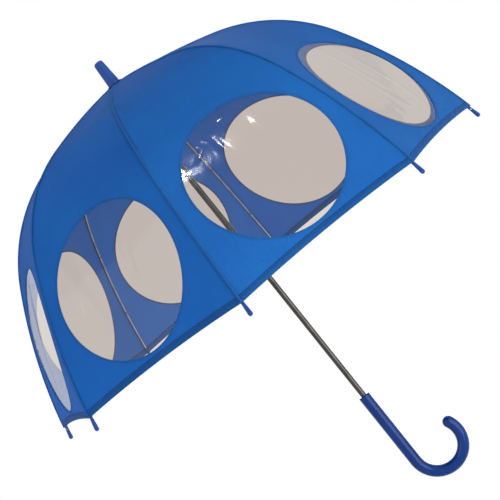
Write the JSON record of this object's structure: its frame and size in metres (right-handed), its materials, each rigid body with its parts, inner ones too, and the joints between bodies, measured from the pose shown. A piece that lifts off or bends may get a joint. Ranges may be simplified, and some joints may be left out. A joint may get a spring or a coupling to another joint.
{
  "type": "umbrella",
  "caption": "Small dome umbrella with a blue fabric canopy, a round clear window in each gore, a bright metal shaft and a glossy blue hook handle.",
  "frame": {"origin": "on the shaft axis, halfway along the handle's straight grip", "axes": "+Z along the shaft towards the ferrule; +X towards the side the hook opens to; the first rib lies over +X"},
  "size_m": [0.6886, 0.6886, 0.7093],
  "materials": {
    "canopy_fabric": "woven waterproof polyester, satin",
    "clear_film": "clear flexible PVC film",
    "handle_plastic": "moulded glossy plastic",
    "tip_plastic": "moulded glossy plastic",
    "chromed_tube": "bright plated steel tube",
    "rib_steel": "bright zinc-plated steel",
    "spring_steel": "bright spring steel",
    "collar_plastic": "moulded satin plastic"
  },
  "bodies": {
    "shaft_assembly": {"handle": "handle_plastic", "shaft": "chromed_tube", "shaft_pins": "spring_steel", "ferrule": "handle_plastic", "canopy_cap": "handle_plastic", "crown": "collar_plastic", "crown_wire": "spring_steel"},
    "runner_slider": {"runner": "collar_plastic", "runner_wire": "spring_steel"},
    "upper_catch_leaf": {"upper_catch": "spring_steel"},
    "lower_catch_leaf": {"lower_catch": "spring_steel"},
    "rib_arm_1": {"rib_1": "rib_steel", "rib_tip_1": "tip_plastic", "rib_clip_1": "rib_steel"},
    "stretcher_link_1": {"stretcher_1": "rib_steel"},
    "canopy_panel_1": {"gore_1": "canopy_fabric", "window_1": "clear_film"},
    "rib_arm_2": {"rib_2": "rib_steel", "rib_tip_2": "tip_plastic", "rib_clip_2": "rib_steel"},
    "stretcher_link_2": {"stretcher_2": "rib_steel"},
    "canopy_panel_2": {"gore_2": "canopy_fabric", "window_2": "clear_film"},
    "rib_arm_3": {"rib_3": "rib_steel", "rib_tip_3": "tip_plastic", "rib_clip_3": "rib_steel"},
    "stretcher_link_3": {"stretcher_3": "rib_steel"},
    "canopy_panel_3": {"gore_3": "canopy_fabric", "window_3": "clear_film"},
    "rib_arm_4": {"rib_4": "rib_steel", "rib_tip_4": "tip_plastic", "rib_clip_4": "rib_steel"},
    "stretcher_link_4": {"stretcher_4": "rib_steel"},
    "canopy_panel_4": {"gore_4": "canopy_fabric", "window_4": "clear_film"},
    "rib_arm_5": {"rib_5": "rib_steel", "rib_tip_5": "tip_plastic", "rib_clip_5": "rib_steel"},
    "stretcher_link_5": {"stretcher_5": "rib_steel"},
    "canopy_panel_5": {"gore_5": "canopy_fabric", "window_5": "clear_film"},
    "rib_arm_6": {"rib_6": "rib_steel", "rib_tip_6": "tip_plastic", "rib_clip_6": "rib_steel"},
    "stretcher_link_6": {"stretcher_6": "rib_steel"},
    "canopy_panel_6": {"gore_6": "canopy_fabric", "window_6": "clear_film"},
    "rib_arm_7": {"rib_7": "rib_steel", "rib_tip_7": "tip_plastic", "rib_clip_7": "rib_steel"},
    "stretcher_link_7": {"stretcher_7": "rib_steel"},
    "canopy_panel_7": {"gore_7": "canopy_fabric", "window_7": "clear_film"},
    "rib_arm_8": {"rib_8": "rib_steel", "rib_tip_8": "tip_plastic", "rib_clip_8": "rib_steel"},
    "stretcher_link_8": {"stretcher_8": "rib_steel"},
    "canopy_panel_8": {"gore_8": "canopy_fabric", "window_8": "clear_film"}
  },
  "joints": [
    {"name": "runner_slide", "type": "slide", "parent": "shaft_assembly", "child": "runner_slider", "axis": [0, 0, -1], "range_m": [0, 0.19241]},
    {"name": "upper_catch_press", "type": "slide", "parent": "shaft_assembly", "child": "upper_catch_leaf", "axis": [0.3827, -0.9239, 0], "range_m": [0, 0.0025], "stiffness_N_per_m": 600},
    {"name": "lower_catch_press", "type": "slide", "parent": "shaft_assembly", "child": "lower_catch_leaf", "axis": [0.3827, -0.9239, 0], "range_m": [0, 0.0025], "stiffness_N_per_m": 600},
    {"name": "rib_fold_1", "type": "hinge", "parent": "shaft_assembly", "child": "rib_arm_1", "pos_m": [0.00857, 0, 0.57116], "axis": [0, 1, 0], "range_deg": [0, 45.02]},
    {"name": "stretcher_fold_1", "type": "hinge", "parent": "rib_arm_1", "child": "stretcher_link_1", "pos_m": [0.16144, 0, 0.53055], "axis": [0, 1, 0], "range_deg": [-90.05, 0]},
    {"name": "panel_fold_1", "type": "hinge", "parent": "rib_arm_1", "child": "canopy_panel_1", "pos_m": [0.00857, 0.00355, 0.57116], "axis": [-0.8629, -0.3574, -0.3574], "range_deg": [0, 33.7], "deforming": ["gore_1", "window_1"]},
    {"name": "rib_fold_2", "type": "hinge", "parent": "shaft_assembly", "child": "rib_arm_2", "pos_m": [0.00606, 0.00606, 0.57116], "axis": [-0.7071, 0.7071, 0], "range_deg": [0, 45.02]},
    {"name": "stretcher_fold_2", "type": "hinge", "parent": "rib_arm_2", "child": "stretcher_link_2", "pos_m": [0.11416, 0.11416, 0.53055], "axis": [-0.7071, 0.7071, 0], "range_deg": [-90.05, 0]},
    {"name": "panel_fold_2", "type": "hinge", "parent": "rib_arm_2", "child": "canopy_panel_2", "pos_m": [0.00355, 0.00857, 0.57116], "axis": [-0.3574, -0.8629, -0.3574], "range_deg": [0, 33.7], "deforming": ["gore_2", "window_2"]},
    {"name": "rib_fold_3", "type": "hinge", "parent": "shaft_assembly", "child": "rib_arm_3", "pos_m": [0, 0.00857, 0.57116], "axis": [-1, 0, 0], "range_deg": [0, 45.02]},
    {"name": "stretcher_fold_3", "type": "hinge", "parent": "rib_arm_3", "child": "stretcher_link_3", "pos_m": [0, 0.16144, 0.53055], "axis": [-1, 0, 0], "range_deg": [-90.05, 0]},
    {"name": "panel_fold_3", "type": "hinge", "parent": "rib_arm_3", "child": "canopy_panel_3", "pos_m": [-0.00355, 0.00857, 0.57116], "axis": [0.3574, -0.8629, -0.3574], "range_deg": [0, 33.7], "deforming": ["gore_3", "window_3"]},
    {"name": "rib_fold_4", "type": "hinge", "parent": "shaft_assembly", "child": "rib_arm_4", "pos_m": [-0.00606, 0.00606, 0.57116], "axis": [-0.7071, -0.7071, 0], "range_deg": [0, 45.02]},
    {"name": "stretcher_fold_4", "type": "hinge", "parent": "rib_arm_4", "child": "stretcher_link_4", "pos_m": [-0.11416, 0.11416, 0.53055], "axis": [-0.7071, -0.7071, 0], "range_deg": [-90.05, 0]},
    {"name": "panel_fold_4", "type": "hinge", "parent": "rib_arm_4", "child": "canopy_panel_4", "pos_m": [-0.00857, 0.00355, 0.57116], "axis": [0.8629, -0.3574, -0.3574], "range_deg": [0, 33.7], "deforming": ["gore_4", "window_4"]},
    {"name": "rib_fold_5", "type": "hinge", "parent": "shaft_assembly", "child": "rib_arm_5", "pos_m": [-0.00857, 0, 0.57116], "axis": [0, -1, 0], "range_deg": [0, 45.02]},
    {"name": "stretcher_fold_5", "type": "hinge", "parent": "rib_arm_5", "child": "stretcher_link_5", "pos_m": [-0.16144, 0, 0.53055], "axis": [0, -1, 0], "range_deg": [-90.05, 0]},
    {"name": "panel_fold_5", "type": "hinge", "parent": "rib_arm_5", "child": "canopy_panel_5", "pos_m": [-0.00857, -0.00355, 0.57116], "axis": [0.8629, 0.3574, -0.3574], "range_deg": [0, 33.7], "deforming": ["gore_5", "window_5"]},
    {"name": "rib_fold_6", "type": "hinge", "parent": "shaft_assembly", "child": "rib_arm_6", "pos_m": [-0.00606, -0.00606, 0.57116], "axis": [0.7071, -0.7071, 0], "range_deg": [0, 45.02]},
    {"name": "stretcher_fold_6", "type": "hinge", "parent": "rib_arm_6", "child": "stretcher_link_6", "pos_m": [-0.11416, -0.11416, 0.53055], "axis": [0.7071, -0.7071, 0], "range_deg": [-90.05, 0]},
    {"name": "panel_fold_6", "type": "hinge", "parent": "rib_arm_6", "child": "canopy_panel_6", "pos_m": [-0.00355, -0.00857, 0.57116], "axis": [0.3574, 0.8629, -0.3574], "range_deg": [0, 33.7], "deforming": ["gore_6", "window_6"]},
    {"name": "rib_fold_7", "type": "hinge", "parent": "shaft_assembly", "child": "rib_arm_7", "pos_m": [0, -0.00857, 0.57116], "axis": [1, 0, 0], "range_deg": [0, 45.02]},
    {"name": "stretcher_fold_7", "type": "hinge", "parent": "rib_arm_7", "child": "stretcher_link_7", "pos_m": [0, -0.16144, 0.53055], "axis": [1, 0, 0], "range_deg": [-90.05, 0]},
    {"name": "panel_fold_7", "type": "hinge", "parent": "rib_arm_7", "child": "canopy_panel_7", "pos_m": [0.00355, -0.00857, 0.57116], "axis": [-0.3574, 0.8629, -0.3574], "range_deg": [0, 33.7], "deforming": ["gore_7", "window_7"]},
    {"name": "rib_fold_8", "type": "hinge", "parent": "shaft_assembly", "child": "rib_arm_8", "pos_m": [0.00606, -0.00606, 0.57116], "axis": [0.7071, 0.7071, 0], "range_deg": [0, 45.02]},
    {"name": "stretcher_fold_8", "type": "hinge", "parent": "rib_arm_8", "child": "stretcher_link_8", "pos_m": [0.11416, -0.11416, 0.53055], "axis": [0.7071, 0.7071, 0], "range_deg": [-90.05, 0]},
    {"name": "panel_fold_8", "type": "hinge", "parent": "rib_arm_8", "child": "canopy_panel_8", "pos_m": [0.00857, -0.00355, 0.57116], "axis": [-0.8629, 0.3574, -0.3574], "range_deg": [0, 33.7], "deforming": ["gore_8", "window_8"]}
  ],
  "couplings": [
    {"joint": "rib_fold_1", "follows": "runner_slide", "rad_per_m": 4.0818},
    {"joint": "stretcher_fold_1", "follows": "runner_slide", "rad_per_m": -8.1636},
    {"joint": "panel_fold_1", "follows": "runner_slide", "rad_per_m": 3.0554},
    {"joint": "rib_fold_2", "follows": "runner_slide", "rad_per_m": 4.0818},
    {"joint": "stretcher_fold_2", "follows": "runner_slide", "rad_per_m": -8.1636},
    {"joint": "panel_fold_2", "follows": "runner_slide", "rad_per_m": 3.0554},
    {"joint": "rib_fold_3", "follows": "runner_slide", "rad_per_m": 4.0818},
    {"joint": "stretcher_fold_3", "follows": "runner_slide", "rad_per_m": -8.1636},
    {"joint": "panel_fold_3", "follows": "runner_slide", "rad_per_m": 3.0554},
    {"joint": "rib_fold_4", "follows": "runner_slide", "rad_per_m": 4.0818},
    {"joint": "stretcher_fold_4", "follows": "runner_slide", "rad_per_m": -8.1636},
    {"joint": "panel_fold_4", "follows": "runner_slide", "rad_per_m": 3.0554},
    {"joint": "rib_fold_5", "follows": "runner_slide", "rad_per_m": 4.0818},
    {"joint": "stretcher_fold_5", "follows": "runner_slide", "rad_per_m": -8.1636},
    {"joint": "panel_fold_5", "follows": "runner_slide", "rad_per_m": 3.0554},
    {"joint": "rib_fold_6", "follows": "runner_slide", "rad_per_m": 4.0818},
    {"joint": "stretcher_fold_6", "follows": "runner_slide", "rad_per_m": -8.1636},
    {"joint": "panel_fold_6", "follows": "runner_slide", "rad_per_m": 3.0554},
    {"joint": "rib_fold_7", "follows": "runner_slide", "rad_per_m": 4.0818},
    {"joint": "stretcher_fold_7", "follows": "runner_slide", "rad_per_m": -8.1636},
    {"joint": "panel_fold_7", "follows": "runner_slide", "rad_per_m": 3.0554},
    {"joint": "rib_fold_8", "follows": "runner_slide", "rad_per_m": 4.0818},
    {"joint": "stretcher_fold_8", "follows": "runner_slide", "rad_per_m": -8.1636},
    {"joint": "panel_fold_8", "follows": "runner_slide", "rad_per_m": 3.0554}
  ]
}
